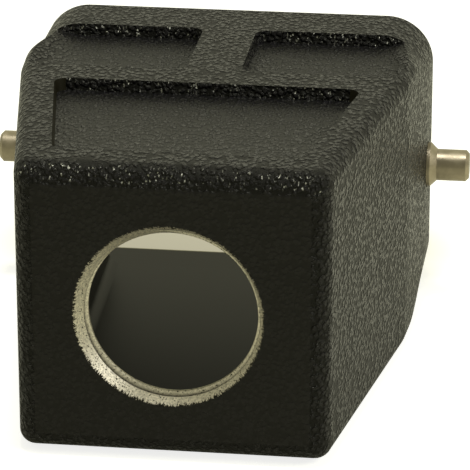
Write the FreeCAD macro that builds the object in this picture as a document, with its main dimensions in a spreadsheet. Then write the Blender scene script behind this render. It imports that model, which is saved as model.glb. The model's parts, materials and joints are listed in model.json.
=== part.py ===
import FreeCAD, Part
import math
import os

import Sketcher
from FreeCAD import Placement, Rotation, Vector

# Rectangular hood of a heavy-duty industrial connector: a die casting with a straight
# cable entry at one end, an open mating end, and two pressed-in locking pegs.
#
# Each piece is drawn about the hood's own axis: +Y runs from the cable end (Y = 0) to the
# mating face, X runs across the pegs and Z across the two wide faces. Placements then lay
# the hood on one wide face, with the origin at the middle of its footprint.

SIZES = {
    "hood_height": ("72", "cable end to mating face"),
    "rim_width": ("60", "outside width at the mating face"),
    "rim_depth": ("43", "outside depth at the mating face"),
    "rim_corner": ("7.1", "corner radius of the collar round the mating face"),
    "collar_height": ("10.2", "mating face to the step at the collar's other end"),
    "collar_width": ("59.8", "outside width at that step"),
    "head_width": ("42.5", "outside width at the cable end"),
    "depth_taper": ("1", "how much less deep the casting is at the cable end"),
    "head_round": ("3.2", "rounding round the cable end"),
    "tower_corner": ("2.2", "corner radius of the tower's long edges"),
    "shoulder_setback": ("28.4", "mating face to where the flare of the narrow sides ends"),
    "shoulder_width": ("57.1", "outside width there"),
    "shoulder_round": ("14", "rounding of the bend in the narrow sides"),
    "collar_bend": ("20", "rounding of the narrow sides' slighter bend at the collar"),
    "blend_start": ("5.4", "end of the flare to where the tower's corners start to open out"),
    "side_wall": ("3.6", "wall of the cavity's narrow sides"),
    "wide_wall": ("3.4", "wall of the cavity's wide sides"),
    "end_wall": ("3", "wall round the cable entry"),
    "rim_wall": ("3", "wall round the insert's pocket"),
    "rim_round": ("0.2", "rounding of the rim's outer edge"),
    "pocket_depth": ("8", "mating face to the seat of the insert"),
    "screw_pitch_wide": ("44", "insert screws, distance along X"),
    "screw_pitch_deep": ("27", "insert screws, distance along Z"),
    "screw_core": ("3.3", "core bore of the insert screws"),
    "screw_depth": ("10", "depth of their holes"),
    "pillar_reach": ("2.7", "screw axis to the pillar's face across X"),
    "pillar_rise": ("4.2", "screw axis to the pillar's face across Z"),
    "pillar_root": ("1.6", "fillet where the pillars meet the wide walls"),
    "pillar_edge": ("0.7", "rounding of the pillars' free edges"),
    "pillar_draft": ("2", "casting draft of the pillars, degrees"),
    "entry_core": ("23.38", "core diameter of the cable entry's thread"),
    "entry_mouth": ("26", "diameter of its chamfer at the cable end"),
    "rib_width": ("8", "stem between the two upper recesses"),
    "cross_rib": ("6.3", "rib between the upper recesses and the lower one"),
    "upper_recess": ("19.3", "length of the upper recesses"),
    "recess_start": ("7", "cable end to the lower recess"),
    "recess_margin": ("5.1", "lower recess to the flared side"),
    "recess_depth": ("1.75", "depth of the recesses"),
    "recess_draft": ("12", "draft of their walls, degrees"),
    "recess_corner": ("1.5", "radius of their corners at the floor"),
    "recess_reach": ("33", "axis to the side that the upper recesses' round ends aim at"),
    "recess_end": ("14", "radius in which their floors rise to the corners"),
    "peg_setback": ("6.3", "mating face to the pegs' axis"),
    "peg_span": ("72.6", "over the tips of both pegs"),
    "peg_pin": ("4.8", "pin diameter"),
    "peg_collar": ("6.7", "collar diameter"),
    "peg_shank": ("4", "shank diameter, pressed into the wall"),
    "peg_collar_width": ("0.7", "width of the collar's rim"),
    "peg_cone_width": ("1", "width of the cone from collar to pin"),
    "peg_tip_chamfer": ("0.5", "chamfer of the pin's end"),
    "peg_bore_gap": ("0.01", "radial gap round the shank"),
    "spot_gap": ("0.2", "gap round the collar in its spot face"),
    "spot_depth": ("0.2", "least depth of the spot face"),
}

# How far a cutter overshoots the face that it comes out of.
OVERSHOOT = 2.0

# Two places nearer than this are the same one. Edges over the second length run along the
# cavity, and those under the third are the short ends of the cable end's rounding.
TINY = 1e-3
LONG = 1.0
SHORT = 0.2

# A face whose normal's largest part falls short of one by less than this is square.
SQUARE = 1e-6

# Heights along the axis that follow from the sizes.
SEAT = "(Sizes.hood_height - Sizes.pocket_depth)"
COLLAR = "(Sizes.hood_height - Sizes.collar_height)"
SHOULDER = "(Sizes.hood_height - Sizes.shoulder_setback)"
BLEND = "(%s + Sizes.blend_start)" % SHOULDER
UPPER = "(%s - Sizes.upper_recess)" % COLLAR
CROSS = "(%s - Sizes.cross_rib)" % UPPER
PEG_HEIGHT = "(Sizes.hood_height - Sizes.peg_setback)"

# Straight lines between stations: the casting's width and depth at a height, which is {0}.
FLARE = "Sizes.head_width + (Sizes.shoulder_width - Sizes.head_width)" \
        " * ({0}) / " + SHOULDER
WIDE = "Sizes.shoulder_width + (Sizes.collar_width - Sizes.shoulder_width)" \
       " * ({0} - " + SHOULDER + ") / (Sizes.shoulder_setback - Sizes.collar_height)"
RIM = "Sizes.rim_width - (Sizes.rim_width - Sizes.collar_width)" \
      " * (Sizes.hood_height - {0}) / Sizes.collar_height"
DEPTH = "Sizes.rim_depth - Sizes.depth_taper * (Sizes.hood_height - {0}) / Sizes.hood_height"

# How far the draft moves a recess's wall between its floor and the wide face.
INSET = "(Sizes.recess_depth * tan(Sizes.recess_draft * 1 deg))"

# The seat of a peg's collar: flat, just below the drafted side face.
PEG_SEAT = "((%s) / 2 - Sizes.spot_depth)" % RIM.format(
    "(Sizes.hood_height - Sizes.peg_setback - Sizes.peg_collar / 2)")

doc = FreeCAD.newDocument("connector_hood")


def make_sheet():
    sheet = doc.addObject("Spreadsheet::Sheet", "Sizes")
    for row, (alias, (value, note)) in enumerate(SIZES.items(), start=1):
        sheet.set("A%d" % row, alias.replace("_", " "))
        sheet.set("B%d" % row, value)
        sheet.set("C%d" % row, note)
        sheet.setAlias("B%d" % row, alias)
    doc.recompute()
    return sheet


sheet = make_sheet()


def size(alias):
    return float(sheet.get(alias))


def new_body(name):
    body = doc.addObject("PartDesign::Body", name)
    body.Label = name
    return body


def origin_feature(body, role):
    for feature in body.Origin.OriginFeatures:
        if feature.Role == role:
            return feature


def new_sketch(body, name, role, offset=None):
    """A sketch on one of the body's origin planes; offset is an expression along its normal."""
    sketch = body.newObject("Sketcher::SketchObject", name)
    sketch.AttachmentSupport = [(origin_feature(body, role), "")]
    sketch.MapMode = "FlatFace"
    if offset:
        sketch.setExpression("AttachmentOffset.Base.z", offset)
    return sketch


def constrain(sketch, kind, expression, *places):
    """Adds one dimension and ties it to an expression."""
    index = sketch.addConstraint(Sketcher.Constraint(kind, *places, 1.0))
    sketch.setExpression("Constraints[%d]" % index, expression)


def draw_polygon(sketch, corners):
    """A closed outline of straight lines, whose corners are pairs of expressions."""
    first = sketch.GeometryCount
    count = len(corners)
    rough = [Vector(math.cos(2 * math.pi * i / count), math.sin(2 * math.pi * i / count), 0)
             for i in range(count)]
    for i in range(count):
        sketch.addGeometry(Part.LineSegment(rough[i], rough[(i + 1) % count]), False)
    for i in range(count):
        sketch.addConstraint(
            Sketcher.Constraint("Coincident", first + i, 2, first + (i + 1) % count, 1))
    for i, (x_expression, y_expression) in enumerate(corners):
        constrain(sketch, "DistanceX", x_expression, -1, 1, first + i, 1)
        constrain(sketch, "DistanceY", y_expression, -1, 1, first + i, 1)


def round_corner(sketch, corner, radius):
    """Rounds a polygon's corner, which stays as the point that its lines aim at."""
    arc = sketch.GeometryCount
    sketch.fillet(corner, 1, size(radius), True, True)
    constrain(sketch, "Radius", "Sizes." + radius, arc)


def draw_rectangle(sketch, width, depth):
    """A rectangle about the sketch's origin, from expressions for its two sides."""
    half_x = "(%s) / 2" % width
    half_y = "(%s) / 2" % depth
    corners = [("-" + half_x, "-" + half_y), (half_x, "-" + half_y),
               (half_x, half_y), ("-" + half_x, half_y)]
    draw_polygon(sketch, corners)


def draw_circle(sketch, x_expression, y_expression, radius_expression):
    circle = Part.Circle(Vector(0, 0, 0), Vector(0, 0, 1), 1.0)
    index = sketch.addGeometry(circle, False)
    constrain(sketch, "DistanceX", x_expression, -1, 1, index, 3)
    constrain(sketch, "DistanceY", y_expression, -1, 1, index, 3)
    constrain(sketch, "Radius", radius_expression, index)


def pocket(body, name, sketch, length, reverse=False):
    """Cuts a sketch's outline along +Y, +Z or +X of its plane, or back from it."""
    feature = body.newObject("PartDesign::Pocket", name)
    feature.Profile = sketch
    feature.Type = "Length"
    feature.setExpression("Length", length)
    feature.Reversed = reverse
    feature.Refine = False
    doc.recompute()
    return feature


def edge_names(shape, test):
    names = []
    for index, edge in enumerate(shape.Edges, start=1):
        if len(edge.Vertexes) == 2 and test(edge):
            names.append("Edge%d" % index)
    return names


def round_edges(body, name, base, radius, test):
    feature = body.newObject("PartDesign::Fillet", name)
    feature.Base = (base, edge_names(base.Shape, test))
    feature.setExpression("Radius", radius)
    feature.Refine = False
    doc.recompute()
    return feature


def lies_at(edge, height):
    """Whether both ends of an edge lie in the plane at that height along the axis."""
    return all(abs(vertex.Y - height) < TINY for vertex in edge.Vertexes)


def runs_along(edge, direction):
    start, end = (vertex.Point for vertex in edge.Vertexes)
    return (end - start).cross(direction).Length < TINY


def steps_along(edge):
    """The edge's lowest and highest place along the hood's axis."""
    low, high = sorted(vertex.Y for vertex in edge.Vertexes)
    return low, high


def report(label, shape):
    print("%-16s valid %s  volume %.1f  faces %d" % (
        label, shape.isValid(), shape.Volume, len(shape.Faces)))


def make_tapered_block(body, name, plan, half_depth, bends=()):
    """A block of the plan's outline, whose wide faces taper with the casting's own draft.

    The plan lists the corners of one narrow side as pairs of half width and height. The half
    depth is an expression of the height, which is {0}. Bends are pairs of a corner's number
    and the alias of its radius.
    """
    outline = new_sketch(body, name + "_plan", "XY_Plane")
    draw_polygon(outline, plan + [("-" + x, y) for x, y in reversed(plan)])
    doc.recompute()
    for corner, radius in bends:
        for place in (corner, 2 * len(plan) - 1 - corner):
            round_corner(outline, place, radius)
    block = body.newObject("PartDesign::Pad", name)
    block.Profile = outline
    block.Midplane = True
    block.setExpression("Length", "Sizes.rim_depth + %g" % OVERSHOOT)
    block.Refine = False
    doc.recompute()

    wedges = new_sketch(body, name + "_wedges", "YZ_Plane")
    low = "-%g" % OVERSHOOT
    high = "(Sizes.hood_height + %g)" % OVERSHOOT
    for sign in ("", "-"):
        draw_polygon(wedges, [
            (low, sign + half_depth.format(low)), (high, sign + half_depth.format(high)),
            (high, sign + "Sizes.rim_depth"), (low, sign + "Sizes.rim_depth")])
    taper = body.newObject("PartDesign::Pocket", name + "_taper")
    taper.Profile = wedges
    taper.Type = "Length"
    taper.Midplane = True
    taper.setExpression("Length", "2 * Sizes.rim_width")
    taper.Refine = False
    doc.recompute()
    return taper


def make_outer_form():
    """The casting's outside: a block of flared plan, rounded at the cable end and corners."""
    body = new_body("tower_and_collar")
    block = make_tapered_block(body, "outer_block", [
        ("Sizes.head_width / 2", "0"),
        ("Sizes.shoulder_width / 2", SHOULDER),
        ("(%s) / 2" % WIDE.format(BLEND), BLEND),
        ("Sizes.collar_width / 2", COLLAR),
        ("Sizes.rim_width / 2", "Sizes.hood_height"),
    ], "((" + DEPTH + ") / 2)", [(1, "shoulder_round"), (3, "collar_bend")])
    round_edges(body, "head_edges", block, "Sizes.head_round",
                lambda edge: lies_at(edge, 0))

    blends = doc.addObject("Part::Fillet", "corner_blends")
    blends.Base = body
    edges = []
    for index, edge in enumerate(body.Shape.Edges, start=1):
        if len(edge.Vertexes) == 2 and is_long_corner(edge):
            start_radius, end_radius = (corner_radius(vertex.Y) for vertex in edge.Vertexes)
            edges.append((index, start_radius, end_radius))
    blends.Edges = edges
    doc.recompute()
    return blends


def is_long_corner(edge):
    """An edge between a wide face and a narrow side, or its run over the cable end's rounding."""
    low, high = steps_along(edge)
    if high - low < SHORT:
        return False
    reach = size("head_round")
    return all(abs(abs(vertex.Z) - outer_half_depth(vertex.Y)) < reach
               and abs(abs(vertex.X) - outer_half_width(vertex.Y)) < reach
               for vertex in edge.Vertexes)


def corner_radius(height):
    """Tight on the tower, opening out below the collar to the collar's own radius."""
    shoulder = size("hood_height") - size("shoulder_setback")
    return value_between([
        (0, size("tower_corner")),
        (shoulder + size("blend_start"), size("tower_corner")),
        (size("hood_height") - size("collar_height"), size("rim_corner")),
        (size("hood_height"), size("rim_corner")),
    ], height)


def outer_half_width(height):
    return value_between([
        (0, size("head_width") / 2),
        (size("hood_height") - size("shoulder_setback"), size("shoulder_width") / 2),
        (size("hood_height") - size("collar_height"), size("collar_width") / 2),
        (size("hood_height"), size("rim_width") / 2),
    ], height)


def outer_half_depth(height):
    return value_between([
        (0, (size("rim_depth") - size("depth_taper")) / 2),
        (size("hood_height"), size("rim_depth") / 2),
    ], height)


def value_between(stations, height):
    """A value at a height, on straight lines between stations of height and value."""
    for (low, low_value), (high, high_value) in zip(stations, stations[1:]):
        if height <= high + TINY:
            return low_value + (high_value - low_value) * (height - low) / (high - low)


def make_core():
    """The hollow's form: flared cavity, notches that leave the screw pillars, insert pocket."""
    body = new_body("core")
    inner_half = "((%s) / 2 - Sizes.side_wall)"
    above_seat = "(%s + %g)" % (SEAT, OVERSHOOT)
    make_tapered_block(body, "cavity", [
        (inner_half % FLARE.format("Sizes.end_wall"), "Sizes.end_wall"),
        (inner_half % "Sizes.shoulder_width", SHOULDER),
        (inner_half % "Sizes.collar_width", COLLAR),
        (inner_half % RIM.format(above_seat), above_seat),
    ], "((" + DEPTH + ") / 2 - Sizes.wide_wall)")

    pillars = new_sketch(body, "pillar_outlines", "XZ_Plane", "-" + above_seat)
    growth = "%s * tan(Sizes.pillar_draft * 1 deg)" % SEAT
    inner_x = "(Sizes.screw_pitch_wide / 2 - Sizes.pillar_reach - %s)" % growth
    inner_z = "(Sizes.screw_pitch_deep / 2 - Sizes.pillar_rise - %s)" % growth
    outer_x = "(Sizes.rim_width / 2)"
    outer_z = "(Sizes.rim_depth / 2)"
    for sign_x in ("", "-"):
        for sign_z in ("", "-"):
            draw_polygon(pillars, [
                (sign_x + inner_x, sign_z + inner_z), (sign_x + outer_x, sign_z + inner_z),
                (sign_x + outer_x, sign_z + outer_z), (sign_x + inner_x, sign_z + outer_z)])
    notches = pocket(body, "pillar_notches", pillars, "Sizes.hood_height", True)
    drafts = body.newObject("PartDesign::Draft", "pillar_drafts")
    drafts.Base = (notches, face_names(notches.Shape, is_pillar_face))
    drafts.NeutralPlane = (origin_feature(body, "XZ_Plane"), [""])
    drafts.setExpression("Angle", "Sizes.pillar_draft")
    drafts.Refine = False
    doc.recompute()
    roots = round_edges(body, "pillar_roots", drafts, "Sizes.pillar_root", is_pillar_root)
    round_edges(body, "pillar_edges", roots, "Sizes.pillar_edge", is_pillar_edge)

    pocket_sketch = new_sketch(body, "pocket_outline", "XZ_Plane", "-" + SEAT)
    draw_rectangle(pocket_sketch, "Sizes.rim_width - 2 * Sizes.rim_wall",
                   "Sizes.rim_depth - 2 * Sizes.rim_wall")
    insert_pocket = body.newObject("PartDesign::Pad", "insert_pocket")
    insert_pocket.Profile = pocket_sketch
    insert_pocket.setExpression("Length", "Sizes.pocket_depth + %g" % OVERSHOOT)
    insert_pocket.Reversed = True
    insert_pocket.Refine = False
    doc.recompute()

    round_edges(body, "pocket_corners", insert_pocket, "Sizes.rim_corner - Sizes.rim_wall",
                lambda edge: runs_along(edge, Vector(0, 1, 0)))
    return body


def face_names(shape, test):
    return ["Face%d" % index for index, face in enumerate(shape.Faces, start=1) if test(face)]


def is_pillar_face(face):
    """A pillar's face towards the middle of the cavity, across X or Z, before its draft."""
    normal = face.normalAt(0, 0)
    return max(abs(normal.x), abs(normal.z)) > 1 - SQUARE


def is_pillar_root(edge):
    """Where a pillar meets a wide wall, all along the cavity."""
    low, high = steps_along(edge)
    wall = (size("rim_depth") - size("depth_taper")) / 2 - size("wide_wall")
    return high - low > LONG and all(
        abs(vertex.X) < size("screw_pitch_wide") / 2 and abs(vertex.Z) > wall - TINY
        for vertex in edge.Vertexes)


def is_pillar_edge(edge):
    """A pillar's edge towards the middle of the cavity, which stands free."""
    low, high = steps_along(edge)
    return high - low > LONG and all(
        abs(vertex.X) < size("screw_pitch_wide") / 2
        and abs(vertex.Z) < size("screw_pitch_deep") / 2
        for vertex in edge.Vertexes)


def cut_away(name, base, tool):
    cut = doc.addObject("Part::Cut", name)
    cut.Base = base
    cut.Tool = tool
    doc.recompute()
    return cut


def make_recess_form(name, wall, corners, rounded, height):
    """The space over a recess: the outline of its floor, padded outwards with the draft.

    The wall is the height along the axis where the recess is as deep as its size says.
    """
    body = new_body(name)
    outline = new_sketch(body, name + "_floor", "XY_Plane",
                         "(%s) / 2 - Sizes.recess_depth" % DEPTH.format(wall))
    draw_polygon(outline, corners)
    doc.recompute()
    for corner in rounded:
        round_corner(outline, corner, "recess_corner")
    pad = body.newObject("PartDesign::Pad", name + "_space")
    pad.Profile = outline
    pad.setExpression("Length", height)
    pad.setExpression("TaperAngle", "Sizes.recess_draft")
    pad.Refine = False
    doc.recompute()
    return body


def make_recess_forms():
    """The lower recess and the two upper ones, for both wide faces."""
    half = "((%s) / 2 - Sizes.recess_margin - " + INSET + ")"
    near = "(Sizes.recess_start + %s)" % INSET
    near_half = half % FLARE.format(near)
    far_half = half % FLARE.format(CROSS)
    lower = make_recess_form("lower_recess", CROSS, [
        ("-" + near_half, near), (near_half, near), (far_half, CROSS), ("-" + far_half, CROSS)],
        range(4), "Sizes.recess_depth + %g" % OVERSHOOT)

    stem = "(Sizes.rib_width / 2 + %s)" % INSET
    near = "(%s + %s)" % (UPPER, INSET)
    right = make_recess_form("upper_recess", COLLAR, [
        (stem, near), ("Sizes.recess_reach", near), ("Sizes.recess_reach", COLLAR),
        (stem, COLLAR)],
        (0, 3), "Sizes.recess_end")
    floor = outer_half_depth(size("hood_height") - size("collar_height")) - size("recess_depth")
    round_edges(right, "upper_recess_end", right.Tip, "Sizes.recess_end",
                lambda edge: all(abs(vertex.Z - floor) < TINY
                                 and abs(vertex.X - size("recess_reach")) < TINY
                                 for vertex in edge.Vertexes))
    left = mirror("upper_recess_left", right, Vector(1, 0, 0))
    upper_face = gather("recesses_of_one_face", [lower, right, left])
    other_face = mirror("recesses_of_the_other_face", upper_face, Vector(0, 0, 1))
    return gather("recesses", [upper_face, other_face])


def mirror(name, source, normal):
    mirrored = doc.addObject("Part::Mirroring", name)
    mirrored.Source = source
    mirrored.Normal = normal
    doc.recompute()
    return mirrored


def gather(name, things):
    compound = doc.addObject("Part::Compound", name)
    compound.Links = things
    doc.recompute()
    return compound


def make_shell(casting):
    """The casting with its rounded rim, cable entry, screw holes and peg bores."""
    body = new_body("hood_shell")
    body.BaseFeature = casting
    doc.recompute()
    round_edges(body, "rounded_rim", body.Tip, "Sizes.rim_round", is_rim_edge)

    entry_outline = new_sketch(body, "entry_outline", "XZ_Plane")
    draw_circle(entry_outline, "0", "0", "Sizes.entry_core / 2")
    entry = pocket(body, "cable_entry", entry_outline,
                   "Sizes.end_wall + %g" % OVERSHOOT, False)
    mouth = body.newObject("PartDesign::Chamfer", "entry_mouth")
    mouth.Base = (entry, circle_names(entry.Shape, size("entry_core") / 2, 0))
    mouth.setExpression("Size", "(Sizes.entry_mouth - Sizes.entry_core) / 2")
    mouth.Refine = False
    doc.recompute()

    screws = new_sketch(body, "screw_centres", "XZ_Plane", "-" + SEAT)
    for sign_x in ("", "-"):
        for sign_z in ("", "-"):
            draw_circle(screws, sign_x + "Sizes.screw_pitch_wide / 2",
                        sign_z + "Sizes.screw_pitch_deep / 2", "Sizes.screw_core / 2")
    pocket(body, "screw_holes", screws, "Sizes.screw_depth", True)

    bore_outline = new_sketch(body, "peg_bore_outline", "YZ_Plane")
    draw_circle(bore_outline, PEG_HEIGHT, "0", "Sizes.peg_shank / 2 + Sizes.peg_bore_gap")
    bores = body.newObject("PartDesign::Pocket", "peg_bores")
    bores.Profile = bore_outline
    bores.Type = "Length"
    bores.Midplane = True
    bores.setExpression("Length", "Sizes.rim_width * 2")
    bores.Refine = False
    doc.recompute()
    for name, sign, reverse in (("right_spot_face", "", True), ("left_spot_face", "-", False)):
        outline = new_sketch(body, name + "_outline", "YZ_Plane", sign + PEG_SEAT)
        draw_circle(outline, PEG_HEIGHT, "0", "Sizes.peg_collar / 2 + Sizes.spot_gap")
        pocket(body, name, outline, "Sizes.rim_width", reverse)

    body.setExpression("Placement.Base.y", "-Sizes.hood_height / 2")
    body.setExpression("Placement.Base.z", "Sizes.rim_depth / 2")
    doc.recompute()
    return body


def is_rim_edge(edge):
    """The mating face's outline, outside the edge of the insert's pocket."""
    pocket_x = size("rim_width") / 2 - size("rim_wall")
    pocket_z = size("rim_depth") / 2 - size("rim_wall")
    return lies_at(edge, size("hood_height")) and all(
        abs(vertex.X) > pocket_x + TINY or abs(vertex.Z) > pocket_z + TINY
        for vertex in edge.Vertexes)


def circle_names(shape, radius, height):
    """The full circles of a radius in the plane at a height along the axis."""
    names = []
    for index, edge in enumerate(shape.Edges, start=1):
        if len(edge.Vertexes) == 1 and lies_at(edge, height) \
                and abs(edge.Length - 2 * math.pi * radius) < TINY:
            names.append("Edge%d" % index)
    return names


def make_peg(name, turn):
    """A turned locking peg about X: shank, collar, cone and pin; turn faces it left or right."""
    body = new_body(name)
    inner = "((Sizes.rim_width / 2) - Sizes.rim_wall)"
    collar_end = "(%s + Sizes.peg_collar_width)" % PEG_SEAT
    cone_end = "(%s + Sizes.peg_cone_width)" % collar_end
    end = "(Sizes.peg_span / 2)"
    sketch = new_sketch(body, name + "_profile", "XY_Plane")
    draw_polygon(sketch, [
        (inner, "0"), (end, "0"), (end, "Sizes.peg_pin / 2"),
        (cone_end, "Sizes.peg_pin / 2"), (collar_end, "Sizes.peg_collar / 2"),
        (PEG_SEAT, "Sizes.peg_collar / 2"), (PEG_SEAT, "Sizes.peg_shank / 2"),
        (inner, "Sizes.peg_shank / 2")])
    turned = body.newObject("PartDesign::Revolution", name + "_turned")
    turned.Profile = sketch
    turned.ReferenceAxis = (sketch, ["H_Axis"])
    turned.Angle = 360
    doc.recompute()
    tip_rim = 2 * math.pi * size("peg_pin") / 2
    names = []
    for index, edge in enumerate(turned.Shape.Edges, start=1):
        if all(abs(vertex.X - size("peg_span") / 2) < TINY for vertex in edge.Vertexes) \
                and abs(edge.Length - tip_rim) < TINY:
            names.append("Edge%d" % index)
    tip = body.newObject("PartDesign::Chamfer", name + "_tip")
    tip.Base = (turned, names)
    tip.setExpression("Size", "Sizes.peg_tip_chamfer")
    body.Placement = Placement(Vector(0, 0, 0), Rotation(Vector(0, 0, 1), turn))
    body.setExpression("Placement.Base.y", "Sizes.hood_height / 2 - Sizes.peg_setback")
    body.setExpression("Placement.Base.z", "Sizes.rim_depth / 2")
    doc.recompute()
    return body


def check_features():
    """Stops on any feature that failed, before a file is written."""
    for thing in doc.Objects:
        if "Invalid" in thing.State or "Error" in thing.State:
            raise RuntimeError("%s failed: %s" % (thing.Name, thing.State))


def export(pieces):
    os.makedirs("parts", exist_ok=True)
    for piece in pieces:
        shape = piece.Shape
        if shape.isNull() or not shape.isValid() or len(shape.Solids) != 1:
            raise RuntimeError("%s is not one valid solid" % piece.Label)
    for piece in pieces:
        piece.Shape.exportStep("parts/%s.step" % piece.Label)
        report(piece.Label, piece.Shape)


relieved_form = cut_away("relieved_form", make_outer_form(), make_recess_forms())
casting = cut_away("hollow_casting", relieved_form, make_core())
hood_shell = make_shell(casting)
peg_right = make_peg("peg_right", 0)
peg_left = make_peg("peg_left", 180)
doc.recompute()
check_features()
export([hood_shell, peg_right, peg_left])
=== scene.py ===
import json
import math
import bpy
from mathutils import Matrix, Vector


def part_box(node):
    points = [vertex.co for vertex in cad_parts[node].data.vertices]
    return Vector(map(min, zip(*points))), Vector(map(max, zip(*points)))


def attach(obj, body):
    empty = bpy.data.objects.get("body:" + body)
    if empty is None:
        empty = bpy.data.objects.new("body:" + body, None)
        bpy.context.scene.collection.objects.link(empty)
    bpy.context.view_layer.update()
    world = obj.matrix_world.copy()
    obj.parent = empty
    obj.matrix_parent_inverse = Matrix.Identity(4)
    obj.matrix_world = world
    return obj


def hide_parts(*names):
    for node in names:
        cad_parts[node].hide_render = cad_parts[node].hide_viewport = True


bl_info = {
    "name": "Connector Hood",
    "version": (1, 0, 0),
    "blender": (4, 5, 0),
    "location": "View3D > Sidebar > Hood",
    "description": "Dresses the packed connector hood with its coat, bare metal and thread",
    "category": "Object",
}

import bmesh
import bpy
from mathutils import Vector

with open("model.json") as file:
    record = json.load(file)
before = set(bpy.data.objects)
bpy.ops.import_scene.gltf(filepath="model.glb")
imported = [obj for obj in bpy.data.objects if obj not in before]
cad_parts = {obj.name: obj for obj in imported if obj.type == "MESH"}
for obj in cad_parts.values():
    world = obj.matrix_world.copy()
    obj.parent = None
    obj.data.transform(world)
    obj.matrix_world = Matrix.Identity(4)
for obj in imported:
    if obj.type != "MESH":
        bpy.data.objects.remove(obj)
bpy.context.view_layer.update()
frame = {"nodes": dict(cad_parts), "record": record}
SHELL = "hood_shell"
PEGS = ("peg_left", "peg_right")


def find_mount(name):
    for mount in frame["record"]["mounts"]:
        if mount["name"] == name:
            return mount


ENTRY = find_mount("cable_entry")
SHELL_LOW, SHELL_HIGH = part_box(SHELL)
SHELL_MIDDLE = (SHELL_LOW.z + SHELL_HIGH.z) / 2

# The plain cable entry of the CAD model: the radius of its bore, the wall that it goes
# through and the radius of its chamfer at the cable end. All lengths are in metres.
ENTRY_CORE = ENTRY["dims"]["r_mm"] / 1000
END_WALL = 0.003
PLAIN_MOUTH = 0.013

# The cut cable entry's mesh, and its thread's flank in degrees and crest as a share of
# the pitch.
ENTRY_ROWS = 60
ENTRY_STEPS = 224
THREAD_FLANK = 30.0
CREST_SHARE = 0.25

# How far below the wide face a recess's floor starts to count as one, and surely does.
RECESS_START = 0.0009
RECESS_SURE = 0.0019

# Two places nearer than this are one.
CLOSE = 0.00001

# The floor reaches this far to each side.
FLOOR_REACH = 3.0

# Name, azimuth and elevation in degrees, distance, size and power of each lamp.
LAMPS = (
    ("top_lamp", 0.0, 87.0, 0.6, 0.08, 1.3),
    ("side_lamp", 75.0, 35.0, 0.7, 0.3, 1.5),
)

ALL_WHITE = (1.0, 1.0, 1.0, 1.0)


def colour(name, description, default):
    return bpy.props.FloatVectorProperty(
        name=name, description=description, subtype="COLOR", size=3, min=0.0, max=1.0,
        default=default)


def length(name, description, default):
    return bpy.props.FloatProperty(
        name=name, description=description, subtype="DISTANCE", unit="LENGTH", min=0.0,
        precision=5, default=default)


def share(name, description, default):
    return bpy.props.FloatProperty(
        name=name, description=description, subtype="FACTOR", min=0.0, max=1.0,
        default=default)


class CoatSettings(bpy.types.PropertyGroup):
    coat: colour("Coat", "Powder coat over the casting", (0.0160, 0.0152, 0.0165))
    # The valleys' darker colour is painted shade in the wrinkles' creases.
    painted_valley_shade: colour("Valley shade", "Coat in the valleys of its wrinkles",
                   (0.0050, 0.0048, 0.0050))
    roughness: share("Roughness", "Roughness on the wrinkles' tops", 0.22)
    valley_roughness: share("Valley roughness", "Roughness that the valleys add", 0.27)
    grain: length("Grain", "Mean distance between wrinkles", 0.00064)
    relief: length("Relief", "Height of the wrinkles", 0.00038)
    calm: share("Calm", "Share of the wrinkles on the cable end", 0.15)
    # A painted highlight: a bright metallic colour on wrinkle tops that slope under the
    # light.
    painted_glint: colour("Glints", "Shine of the wrinkles' tops on slopes under the light",
                  (0.36, 0.36, 0.31))
    painted_glint_roughness: share("Fleck roughness", "Roughness of the flecks", 0.5)
    floor_gloss: share("Floor gloss", "Smoother film on the recesses' floors", 0.26)
    inner: colour("Inner coat", "Thin smooth coat inside the casting",
                  (0.009, 0.0075, 0.003))
    inner_roughness: share("Inner roughness", "Roughness of the coat inside, midway", 0.52)
    inner_change: share("Inner change", "Roughness that it gains at the cable end", 0.06)


class MetalSettings(bpy.types.PropertyGroup):
    casting: colour("Bare casting", "Aluminium alloy where it is cut bare",
                    (0.72, 0.67, 0.54))
    casting_roughness: share("Cut roughness", "Roughness of the bare casting", 0.46)
    steel: colour("Steel", "Turned steel of the pegs", (0.38, 0.33, 0.235))
    mouth: length("Mouth radius", "Outer radius of the cut round the cable entry", 0.0131)
    shift: bpy.props.FloatVectorProperty(
        name="Shift", description="How far that cut lies off the bore's axis, in X and Z",
        subtype="XYZ_LENGTH", unit="LENGTH", size=2, default=(-0.00042, -0.00013))
    pitch: length("Pitch", "Pitch of the cable entry's thread", 0.0015)
    major: length("Major radius", "Radius in the thread's valleys", 0.0125)
    bite: length("Bite", "How far the coat laps over the cut's edge", 0.00012)
    tooth: length("Tooth", "Size of the chips along the coat's edge", 0.00034)
    # The bare line inside the mating rim is a painted highlight along that edge.
    painted_rim_highlight: length("Rim highlight", "Width of the bare edge inside the mating rim", 0.0003)


class StageSettings(bpy.types.PropertyGroup):
    floor: colour("Floor", "Plain pale floor", (0.78, 0.775, 0.62))
    room: colour("Room", "Warm backdrop that the hood mirrors", (0.80, 0.79, 0.59))
    front: share("Front", "How bright the room before the hood is beside its backdrop",
                 0.55)
    shade: colour("Shade", "Floor in the shade of the open end", (0.36, 0.34, 0.25))
    azimuth: bpy.props.FloatProperty(
        name="Azimuth", description="Direction that the camera looks in, from +Y",
        subtype="ANGLE", default=math.radians(7.38))
    elevation: bpy.props.FloatProperty(
        name="Elevation", description="Camera's height above the horizon",
        subtype="ANGLE", default=math.radians(20.959))
    distance: length("Distance", "Camera to the point it aims at", 0.472107)
    aim: bpy.props.FloatVectorProperty(
        name="Aim", description="Point that the camera looks at",
        subtype="TRANSLATION", unit="LENGTH", size=3, default=(0.004207, -0.001, 0.020274))
    lens: bpy.props.FloatProperty(
        name="Lens", description="Focal length", subtype="DISTANCE_CAMERA", default=249.09)


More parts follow.
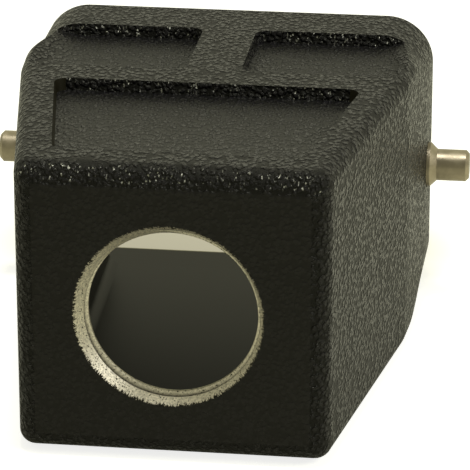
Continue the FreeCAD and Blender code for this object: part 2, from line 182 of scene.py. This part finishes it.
class Nodes:
    """A small helper that adds nodes to a tree and links them by name."""

    def __init__(self, tree):
        self.tree = tree

    def add(self, kind, settings=None, **inputs):
        node = self.tree.nodes.new(kind)
        for key, value in (settings or {}).items():
            setattr(node, key, value)
        for key, value in inputs.items():
            self.feed(node.inputs[key], value)
        return node

    def feed(self, socket, value):
        if isinstance(value, bpy.types.NodeSocket):
            self.tree.links.new(value, socket)
        else:
            socket.default_value = value

    def math(self, operation, *values):
        node = self.add("ShaderNodeMath", {"operation": operation})
        for socket, value in zip(node.inputs, values):
            self.feed(socket, value)
        return node.outputs[0]

    def product(self, first, *others):
        for other in others:
            first = self.math("MULTIPLY", first, other)
        return first

    def opposite(self, mask):
        return self.math("SUBTRACT", 1.0, mask)

    def vector(self, operation, *values):
        node = self.add("ShaderNodeVectorMath", {"operation": operation})
        for socket, value in zip(node.inputs, values):
            self.feed(socket, value)
        return node.outputs[0]

    def scaled(self, vector, factor):
        node = self.vector("SCALE", vector).node
        self.feed(node.inputs["Scale"], factor)
        return node.outputs[0]

    def magnitude(self, vector):
        return self.vector("LENGTH", vector).node.outputs["Value"]

    def across(self, place):
        """A place without its part along the hood."""
        return self.vector("MULTIPLY", place, (1.0, 0.0, 1.0))

    def parts(self, vector):
        return self.add("ShaderNodeSeparateXYZ", Vector=vector).outputs

    def normal(self):
        return self.add("ShaderNodeNewGeometry").outputs["True Normal"]

    def noise(self, place, scale, detail, **inputs):
        return self.add("ShaderNodeTexNoise", Vector=place, Scale=scale, Detail=detail,
                        **inputs).outputs["Fac"]

    def bent(self, place, scale, strength):
        """A place moved by soft noise, which breaks up the pattern drawn on it."""
        noise = self.add("ShaderNodeTexNoise", Vector=place, Scale=scale, Detail=1.0)
        return self.vector("MULTIPLY_ADD", noise.outputs["Color"], (strength,) * 3, place)

    def ramp(self, value, low, high, start=0.0, end=1.0):
        node = self.add("ShaderNodeMapRange", {"interpolation_type": "SMOOTHSTEP"})
        for key, number in (("Value", value), ("From Min", low), ("From Max", high),
                            ("To Min", start), ("To Max", end)):
            self.feed(node.inputs[key], number)
        return node.outputs[0]

    def blend(self, factor, first, second):
        node = self.add("ShaderNodeMix")
        for socket, value in zip((node.inputs[0], *node.inputs[2:4]),
                                 (factor, first, second)):
            self.feed(socket, value)
        return node.outputs[0]

    def mix(self, factor, first, second):
        node = self.add("ShaderNodeMix", {"data_type": "RGBA"})
        for socket, value in zip((node.inputs[0], *node.inputs[6:8]),
                                 (factor, first, second)):
            self.feed(socket, value)
        return node.outputs[2]


def rgba(values):
    return (*values, 1.0)


def new_group(name, inputs, outputs):
    """A shader node group with named sockets, its nodes and what it is given."""
    group = bpy.data.node_groups.new(name, "ShaderNodeTree")
    for label, kind, default in inputs:
        socket = group.interface.new_socket(
            label, in_out="INPUT", socket_type="NodeSocket" + kind)
        socket.default_value = default
    for label in outputs:
        group.interface.new_socket(label, in_out="OUTPUT", socket_type="NodeSocketFloat")
    nodes = Nodes(group)
    return group, nodes, nodes.add("NodeGroupInput").outputs


def use_group(nodes, group, **inputs):
    return nodes.add("ShaderNodeGroup", {"node_tree": group}, **inputs).outputs


PLACE = ("Place", "Vector", (0.0, 0.0, 0.0))
GRAIN = ("Grain", "Float", 0.0005)


def wrinkle_group():
    """Height of a wrinkled coat: rounded cells with narrow valleys, broken up by noise."""
    group, nodes, given = new_group("wrinkled_coat", [PLACE, GRAIN], ["Height", "Top"])
    stretched = nodes.vector("MULTIPLY", given["Place"], (1.0, 0.65, 1.0))
    place = nodes.scaled(stretched, nodes.math("DIVIDE", 1.0, given["Grain"]))
    cells = nodes.add("ShaderNodeTexVoronoi", {"feature": "SMOOTH_F1"},
                      Vector=nodes.bent(place, 0.9, 0.9), Scale=1.0, Smoothness=0.25)
    dome_top, dome_foot = 0.25, 0.70
    dome = nodes.ramp(cells.outputs["Distance"], dome_top, dome_foot, 1.0, 0.0)
    fine_share, broad_share = 0.25, 0.8
    fine = nodes.noise(place, 3.1, 2.0, Roughness=0.6)
    broad = nodes.noise(place, 0.23, 1.0)
    height = nodes.math("MULTIPLY_ADD", fine, fine_share, dome)
    height = nodes.math("MULTIPLY_ADD", broad, broad_share, height)
    nodes.add("NodeGroupOutput", Height=height, Top=dome)
    return group


def entry_cut_group():
    """Masks of the cut round the cable entry, with chipped edges, and of its grooves."""
    group, nodes, given = new_group("entry_cut", [
        PLACE,
        ("Centre", "Vector", (0.0, 0.0, 0.0)),
        ("Radius", "Float", 0.013),
        ("Bite", "Float", 0.0001),
        ("Tooth", "Float", 0.0003),
    ], ["Bare", "Groove"])
    offset = nodes.vector("SUBTRACT", given["Place"], given["Centre"])
    flat = nodes.across(offset)
    radius = nodes.magnitude(flat)

    # The chips follow the cut's edge, and vary slowly inwards.
    inward_share, chip_swing = 0.45, 5.5
    per_metre = nodes.math("DIVIDE", 1.0, given["Tooth"])
    rim = nodes.scaled(nodes.vector("NORMALIZE", flat),
                       nodes.product(given["Radius"], per_metre))
    spread = nodes.scaled(given["Place"], nodes.product(per_metre, inward_share))
    teeth = nodes.noise(nodes.vector("ADD", rim, spread), 1.3, 3.0, Roughness=0.7)
    swing = nodes.product(nodes.math("SUBTRACT", teeth, 0.5),
                          nodes.product(given["Tooth"], chip_swing))
    reach = nodes.math("SUBTRACT", given["Radius"], given["Bite"])
    edge = nodes.math("ADD", reach, swing)
    half_edge = 0.00002
    ring = nodes.ramp(nodes.math("SUBTRACT", edge, radius), -half_edge, half_edge)
    along = nodes.parts(offset)["Y"]
    near = nodes.math("LESS_THAN", along, END_WALL + CLOSE)

    # A groove of painted shade lies outside the chamfer's cone, in the thread's outer part.
    cone = nodes.math("SUBTRACT", given["Radius"], along)
    past_cone = (0.00001, 0.00006)
    past_core = (ENTRY_CORE + 0.0002, ENTRY_CORE + 0.0007)
    beyond = nodes.ramp(nodes.math("SUBTRACT", radius, cone), *past_cone)
    bore = nodes.vector("SUBTRACT", given["Place"], (0.0, 0.0, ENTRY["pos_m"][2]))
    painted_valley_shade = nodes.ramp(nodes.magnitude(nodes.across(bore)), *past_core)
    nodes.add("NodeGroupOutput", Bare=nodes.product(ring, near),
              Groove=nodes.product(beyond, painted_valley_shade))
    return group


def painted_glint_group():
    """Mask of the painted highlights on wrinkles that slope under the light from above."""
    group, nodes, given = new_group("glints", [PLACE, GRAIN], ["Fleck"])
    place = nodes.scaled(given["Place"], nodes.math("DIVIDE", 1.0, given["Grain"]))
    place = nodes.vector("MULTIPLY", place, (1.15, 0.6, 0.6))
    cells = nodes.add("ShaderNodeTexVoronoi", {"feature": "F1"},
                      Vector=nodes.bent(place, 2.2, 0.8), Scale=1.25)
    spot_core, spot_edge = 0.17, 0.31
    spot = nodes.ramp(cells.outputs["Distance"], spot_core, spot_edge, 1.0, 0.0)
    clumps = nodes.ramp(nodes.noise(place, 0.55, 1.0), 0.40, 0.52)

    # They show on faces between upright and level that look at the cable end, and not
    # on the cable end itself.
    normal = nodes.parts(nodes.normal())
    leaning = nodes.ramp(normal["Z"], 0.08, 0.2)
    upright = nodes.ramp(normal["Z"], 0.86, 0.97, 1.0, 0.0)
    facing = nodes.ramp(normal["Y"], -0.35, -0.2, 1.0, 0.0)
    past_end = (SHELL_LOW.y + 0.0001, SHELL_LOW.y + 0.00025)
    behind = nodes.ramp(nodes.parts(given["Place"])["Y"], *past_end)
    nodes.add("NodeGroupOutput",
              Fleck=nodes.product(leaning, upright, behind, facing, spot, clumps))
    return group


def recess_group():
    """Mask of the recesses' floors, which lie below the wide faces and are level."""
    group, nodes, given = new_group("recess_floors", [PLACE], ["Floor"])
    height = nodes.math("SUBTRACT", nodes.parts(given["Place"])["Z"], SHELL_MIDDLE)
    wide_face = SHELL_HIGH.z - SHELL_MIDDLE
    low = nodes.ramp(nodes.math("ABSOLUTE", height),
                     wide_face - RECESS_SURE, wide_face - RECESS_START, 1.0, 0.0)
    up = nodes.parts(nodes.normal())["Z"]
    level = nodes.ramp(nodes.math("ABSOLUTE", up), 0.9, 0.99)
    nodes.add("NodeGroupOutput", Floor=nodes.product(low, level))
    return group


def inner_group():
    """Mask of the casting's hollow, whose faces look at the hood's axis."""
    group, nodes, given = new_group("hollow", [PLACE], ["Inside"])
    centre = nodes.vector("SUBTRACT", given["Place"], (0.0, 0.0, SHELL_MIDDLE))
    outward = nodes.vector("DOT_PRODUCT", nodes.across(centre), nodes.normal()).node
    margin = 0.0005
    nodes.add("NodeGroupOutput",
              Inside=nodes.math("LESS_THAN", outward.outputs["Value"], -margin))
    return group


def new_material(name):
    material = bpy.data.materials.new(name)
    material.use_nodes = True
    nodes = Nodes(material.node_tree)
    shader = material.node_tree.nodes["Principled BSDF"]
    place = nodes.add("ShaderNodeTexCoord").outputs["Object"]
    return material, nodes, shader, place


def make_coat_material(coat, metal):
    material, nodes, shader, place = new_material("wrinkled_black_coat")
    wrinkles = use_group(nodes, wrinkle_group(), Place=place, Grain=coat.grain)
    centre = (metal.shift[0], SHELL_LOW.y, ENTRY["pos_m"][2] + metal.shift[1])
    cut = use_group(nodes, entry_cut_group(), Place=place, Centre=centre,
                    Radius=metal.mouth, Bite=metal.bite, Tooth=metal.tooth)
    inside = use_group(nodes, inner_group(), Place=place)["Inside"]
    outer = nodes.opposite(inside)

    # Bare metal: the cut, but for a few black pits, and a painted highlight in the mating
    # rim.
    sound = nodes.ramp(nodes.noise(place, 4200.0, 1.0), 0.31, 0.37)
    depth = nodes.parts(place)["Y"]
    painted_rim_highlight = nodes.math("GREATER_THAN", depth, SHELL_HIGH.y - metal.painted_rim_highlight)
    bare = nodes.math("MAXIMUM", nodes.product(cut["Bare"], sound),
                      nodes.product(painted_rim_highlight, inside))

    # The coat, whose wrinkles are weaker on the cable end, with painted shade in their
    # valleys.
    # Painted highlights: bright metallic spots on wrinkles that slope under the light
    # above.
    painted_glint = use_group(nodes, painted_glint_group(), Place=place, Grain=coat.grain)["Fleck"]
    painted_glint = nodes.product(painted_glint, outer)
    floors = use_group(nodes, recess_group(), Place=place)["Floor"]
    floors = nodes.product(floors, outer)
    facing = nodes.parts(nodes.normal())["Y"]
    calm = nodes.ramp(facing, -0.9998, -0.978, coat.calm, 1.0)
    # The darker valley colour is painted shade, weaker on the cable end.
    low = nodes.product(nodes.opposite(wrinkles["Top"]), nodes.math("POWER", calm, 0.4))
    black = nodes.mix(low, rgba(coat.coat), rgba(coat.painted_valley_shade))
    black = nodes.mix(painted_glint, black, rgba(coat.painted_glint))
    black = nodes.mix(inside, black, rgba(coat.inner))

    # The bare casting varies in tone at random, and its grooves are darker as painted
    # shade.
    painted_groove_shade = 0.25
    mottle = nodes.ramp(nodes.noise(place, 3600.0, 3.0), 0.3, 0.7, 0.70, 1.12)
    tone = nodes.product(mottle, nodes.blend(cut["Groove"], 1.0, painted_groove_shade))
    alloy = nodes.scaled(metal.casting, tone)
    nodes.feed(shader.inputs["Base Color"], nodes.mix(bare, black, alloy))

    rough = nodes.math("MULTIPLY_ADD", low, coat.valley_roughness, coat.roughness)
    rough = nodes.blend(painted_glint, rough, coat.painted_glint_roughness)
    smooth = nodes.ramp(depth, SHELL_LOW.y, SHELL_HIGH.y,
                        coat.inner_roughness + coat.inner_change,
                        coat.inner_roughness - coat.inner_change)
    rough = nodes.blend(inside, rough, smooth)
    rough = nodes.blend(bare, rough, metal.casting_roughness)
    nodes.feed(shader.inputs["Roughness"], rough)
    nodes.feed(shader.inputs["Metallic"], nodes.math("MAXIMUM", bare, painted_glint))
    nodes.feed(shader.inputs["Coat Weight"], nodes.product(floors, coat.floor_gloss))
    shader.inputs["Coat Roughness"].default_value = 0.3
    shader.inputs["Coat IOR"].default_value = 1.245
    shader.inputs["IOR"].default_value = 1.25
    shader.inputs["Specular Tint"].default_value = (1.0, 1.0, 0.80, 1.0)

    height = nodes.product(wrinkles["Height"], outer, nodes.opposite(bare), calm)
    bump = nodes.add("ShaderNodeBump", Height=height, Distance=coat.relief, Strength=1.0)
    nodes.feed(shader.inputs["Normal"], bump.outputs["Normal"])
    return material


def entry_radius(metal, direction, depth, turn):
    """The void's radius at a depth: the shifted chamfer's, or the thread's if wider."""
    offset = metal.shift[0] * direction.x + metal.shift[1] * direction.z
    cone = metal.mouth - depth
    aside = metal.shift[0] ** 2 + metal.shift[1] ** 2 - offset ** 2
    chamfer = offset + math.sqrt(cone ** 2 - aside)
    tooth = metal.major - ENTRY_CORE
    flank = tooth * math.tan(math.radians(THREAD_FLANK))
    phase = (depth + turn * metal.pitch) % metal.pitch
    rise = min(phase - metal.pitch * CREST_SHARE, metal.pitch - phase) / flank
    thread = ENTRY_CORE + tooth * min(max(rise, 0.0), 1.0)
    return max(chamfer, thread)


def nearest_step(vertex, axis):
    out = vertex.co - axis
    turn = math.atan2(out.z, out.x) / (2 * math.pi)
    return round(turn * ENTRY_STEPS) % ENTRY_STEPS


def sew_to_ring(bm, axis, rim, ring):
    """Ends the flat faces round the entry on the ring's own vertices, with no gap."""
    faces = [face for face in bm.faces if any(vertex in rim for vertex in face.verts)]
    half = ENTRY_STEPS // 2
    for face in faces:
        outline = []
        corners = list(face.verts)
        for corner, after in zip(corners, corners[1:] + corners[:1]):
            if corner not in rim:
                outline.append(corner)
                continue
            step = nearest_step(corner, axis)
            outline.append(ring[step])
            if after in rim:
                steps = (nearest_step(after, axis) - step + half) % ENTRY_STEPS - half
                way = 1 if steps > 0 else -1
                outline.extend(ring[(step + way * count) % ENTRY_STEPS]
                               for count in range(1, abs(steps)))
        outline = list(dict.fromkeys(outline))
        if len(outline) > 2:
            bm.faces.new(outline)
    bmesh.ops.delete(bm, geom=faces, context="FACES")


def remove_plain_entry(bm, axis):
    """Takes the plain entry's faces out and returns the rims that they leave."""
    plain = set()
    mouth = set()
    inner_end = set()
    for vertex in bm.verts:
        out = vertex.co - axis
        radius = math.hypot(out.x, out.z)
        if radius < PLAIN_MOUTH + CLOSE and out.y < END_WALL + CLOSE:
            plain.add(vertex)
            if out.y < CLOSE:
                mouth.add(vertex)
            elif out.y > END_WALL - CLOSE:
                inner_end.add(vertex)
    bore = [face for face in bm.faces if all(vertex in plain for vertex in face.verts)]
    bmesh.ops.delete(bm, geom=bore, context="FACES")
    return [{vertex for vertex in rim if vertex.is_valid} for rim in (mouth, inner_end)]


def make_entry_rings(bm, axis, metal):
    """Builds the cut and threaded entry's wall and returns its rings of vertices."""
    rings = []
    for row in range(ENTRY_ROWS + 1):
        depth = END_WALL * row / ENTRY_ROWS
        ring = []
        for step in range(ENTRY_STEPS):
            turn = step / ENTRY_STEPS
            angle = 2 * math.pi * turn
            direction = Vector((math.cos(angle), 0.0, math.sin(angle)))
            radius = entry_radius(metal, direction, depth, turn)
            place = axis + direction * radius + Vector((0.0, depth, 0.0))
            ring.append(bm.verts.new(place))
        rings.append(ring)
    for near, far in zip(rings, rings[1:]):
        for step in range(ENTRY_STEPS):
            after = (step + 1) % ENTRY_STEPS
            face = bm.faces.new((near[step], near[after], far[after], far[step]))
            face.smooth = True
    return rings


def make_threaded_casting(metal):
    """A copy of the casting whose plain bore gives way to the cut and threaded entry."""
    bm = bmesh.new()
    bm.from_mesh(frame["nodes"][SHELL].data)
    axis = Vector((0.0, SHELL_LOW.y, ENTRY["pos_m"][2]))
    mouth, inner_end = remove_plain_entry(bm, axis)
    rings = make_entry_rings(bm, axis, metal)
    sew_to_ring(bm, axis, mouth, rings[0])
    sew_to_ring(bm, axis, inner_end, rings[-1])
    mesh = bpy.data.meshes.new("threaded_casting")
    bm.to_mesh(mesh)
    bm.free()
    casting = link_object("threaded_casting", mesh)
    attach(casting, "root")
    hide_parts(SHELL)
    return casting


def make_steel_material(metal):
    material, nodes, shader, place = new_material("turned_steel")
    grooves = nodes.vector("MULTIPLY", place, (9000.0, 400.0, 400.0))
    turning = nodes.noise(grooves, 1.0, 2.0)
    dull = nodes.noise(place, 700.0, 3.0)
    tone = nodes.ramp(dull, 0.3, 0.75, 0.8, 1.08)
    nodes.feed(shader.inputs["Base Color"], nodes.scaled(metal.steel, tone))
    nodes.feed(shader.inputs["Roughness"], nodes.ramp(dull, 0.3, 0.7, 0.34, 0.48))
    shader.inputs["Metallic"].default_value = 1.0
    groove_depth = 0.000008
    bump = nodes.add("ShaderNodeBump", Height=turning, Distance=groove_depth)
    nodes.feed(shader.inputs["Normal"], bump.outputs["Normal"])
    return material


def dress(node, material):
    for material_slot in node.material_slots:
        material_slot.material = material


class HOOD_OT_casting(bpy.types.Operator):
    """Cuts the cable entry's thread, bares it and coats the rest of the casting"""

    bl_idname = "hood.casting"
    bl_label = "Coat the Casting"

    def execute(self, context):
        scene = context.scene
        casting = make_threaded_casting(scene.hood_metal)
        casting.data.materials.clear()
        casting.data.materials.append(
            make_coat_material(scene.hood_coat, scene.hood_metal))
        return {"FINISHED"}


class HOOD_OT_pegs(bpy.types.Operator):
    """Finishes both locking pegs as turned steel"""

    bl_idname = "hood.pegs"
    bl_label = "Finish the Pegs"

    def execute(self, context):
        steel = make_steel_material(context.scene.hood_metal)
        for name in PEGS:
            dress(frame["nodes"][name], steel)
        return {"FINISHED"}


def link_object(name, data):
    obj = bpy.data.objects.new(name, data)
    bpy.context.scene.collection.objects.link(obj)
    return obj


def place_facing(obj, aim, azimuth, elevation, distance):
    """Puts a camera or lamp out in a direction from a point, looking back at it."""
    out = Vector((math.sin(azimuth) * math.cos(elevation),
                  -math.cos(azimuth) * math.cos(elevation), math.sin(elevation)))
    obj.location = aim + out * distance
    obj.rotation_euler = (-out).to_track_quat("-Z", "Y").to_euler()


def make_camera(stage):
    camera = link_object("camera", bpy.data.cameras.new("camera"))
    place_facing(camera, Vector(stage.aim), stage.azimuth, stage.elevation, stage.distance)
    camera.data.lens = stage.lens
    camera.data.sensor_width = 36.0
    camera.data.clip_start = 0.01
    camera.data.clip_end = 20.0
    bpy.context.scene.camera = camera


def make_lamp(name, azimuth, elevation, distance, size, power):
    """A square soft lamp that shines on the hood's middle."""
    lamp = bpy.data.lights.new(name, "AREA")
    lamp.size = size
    lamp.energy = power
    place_facing(link_object(name, lamp), (SHELL_LOW + SHELL_HIGH) / 2,
                 math.radians(azimuth), math.radians(elevation), distance)


def seen_directly(nodes, path):
    """One where the camera, a mirror or a clear body sees the surface, else zero."""
    seen = nodes.math("MAXIMUM", path["Is Camera Ray"], path["Is Glossy Ray"])
    return nodes.math("MAXIMUM", seen, path["Is Transmission Ray"])


def room_colour(nodes, path, stage, along, front_end, back_start):
    """White for the camera; for what the hood mirrors, the warm room, dimmer in front."""
    level = nodes.ramp(along, front_end, back_start, stage.front, 1.0)
    warm = nodes.scaled(stage.room, level)
    return nodes.mix(path["Is Camera Ray"], warm, ALL_WHITE)


def make_floor(stage):
    bm = bmesh.new()
    bmesh.ops.create_grid(bm, x_segments=1, y_segments=1, size=FLOOR_REACH)
    mesh = bpy.data.meshes.new("floor")
    bm.to_mesh(mesh)
    bm.free()
    floor = link_object("floor", mesh)
    material, nodes, shader, place = new_material("pale_floor")
    shader.inputs["Roughness"].default_value = 0.9
    shader.inputs["Specular IOR Level"].default_value = 0.0

    # The shade is a soft spot just behind the open mating end.
    centre = (-0.003, SHELL_HIGH.y + 0.012, 0.0)
    shade_full, shade_end = 0.018, 0.045
    spread = nodes.vector("MULTIPLY", nodes.vector("SUBTRACT", place, centre),
                          (1.0, 1.5, 0.0))
    shade = nodes.ramp(nodes.magnitude(spread), shade_full, shade_end, 1.0, 0.0)
    nodes.feed(shader.inputs["Base Color"],
               nodes.mix(shade, rgba(stage.floor), rgba(stage.shade)))

    # A glow gives the floor its white for the camera, and leaves the shadow on it.
    mirror_glow, camera_glow = 0.4, 0.8
    path = nodes.add("ShaderNodeLightPath").outputs
    front_end, back_start = -0.05, 0.05
    room = room_colour(nodes, path, stage, nodes.parts(place)["Y"], front_end, back_start)
    strength = nodes.product(seen_directly(nodes, path),
                             nodes.blend(path["Is Camera Ray"], mirror_glow, camera_glow))
    glow = nodes.add("ShaderNodeEmission", Strength=strength,
                     Color=nodes.mix(shade, room, rgba(stage.shade)))
    both = nodes.add("ShaderNodeAddShader")
    nodes.feed(both.inputs[0], shader.outputs[0])
    nodes.feed(both.inputs[1], glow.outputs[0])
    output = material.node_tree.nodes["Material Output"]
    nodes.feed(output.inputs["Surface"], both.outputs[0])
    mesh.materials.append(material)


def make_world(stage):
    world = bpy.data.worlds.new("studio")
    bpy.context.scene.world = world
    world.use_nodes = True
    nodes = Nodes(world.node_tree)
    path = nodes.add("ShaderNodeLightPath").outputs
    direction = nodes.add("ShaderNodeTexCoord").outputs["Generated"]
    back = world.node_tree.nodes["Background"]
    front_end, back_start = -0.1, 0.6
    nodes.feed(back.inputs["Color"],
               room_colour(nodes, path, stage, nodes.parts(direction)["Y"],
                           front_end, back_start))
    plain_level = 0.5
    nodes.feed(back.inputs["Strength"],
               nodes.math("MULTIPLY_ADD", seen_directly(nodes, path), 1.0 - plain_level,
                          plain_level))


class HOOD_OT_stage(bpy.types.Operator):
    """Makes the camera, the pale floor and the soft studio light"""

    bl_idname = "hood.stage"
    bl_label = "Make the Stage"

    def execute(self, context):
        stage = context.scene.hood_stage
        make_camera(stage)
        make_floor(stage)
        make_world(stage)
        for lamp in LAMPS:
            make_lamp(*lamp)
        context.scene.view_settings.view_transform = "Standard"
        return {"FINISHED"}


class HOOD_PT_panel(bpy.types.Panel):
    """Shows a button in the sidebar for each of the hood's steps"""

    bl_label = "Connector Hood"
    bl_idname = "HOOD_PT_panel"
    bl_space_type = "VIEW_3D"
    bl_region_type = "UI"
    bl_category = "Hood"

    def draw(self, context):
        for operator in OPERATORS:
            self.layout.operator(operator.bl_idname)


SETTINGS = {
    "hood_coat": CoatSettings,
    "hood_metal": MetalSettings,
    "hood_stage": StageSettings,
}
OPERATORS = (HOOD_OT_stage, HOOD_OT_casting, HOOD_OT_pegs)


def register():
    for name, settings in SETTINGS.items():
        bpy.utils.register_class(settings)
        setattr(bpy.types.Scene, name, bpy.props.PointerProperty(type=settings))
    for operator in OPERATORS:
        bpy.utils.register_class(operator)
    bpy.utils.register_class(HOOD_PT_panel)


def unregister():
    bpy.utils.unregister_class(HOOD_PT_panel)
    for operator in reversed(OPERATORS):
        bpy.utils.unregister_class(operator)
    for name, settings in SETTINGS.items():
        delattr(bpy.types.Scene, name)
        bpy.utils.unregister_class(settings)


def main():
    register()
    bpy.ops.hood.stage()
    bpy.ops.hood.casting()
    bpy.ops.hood.pegs()


if __name__ == "__main__":
    main()
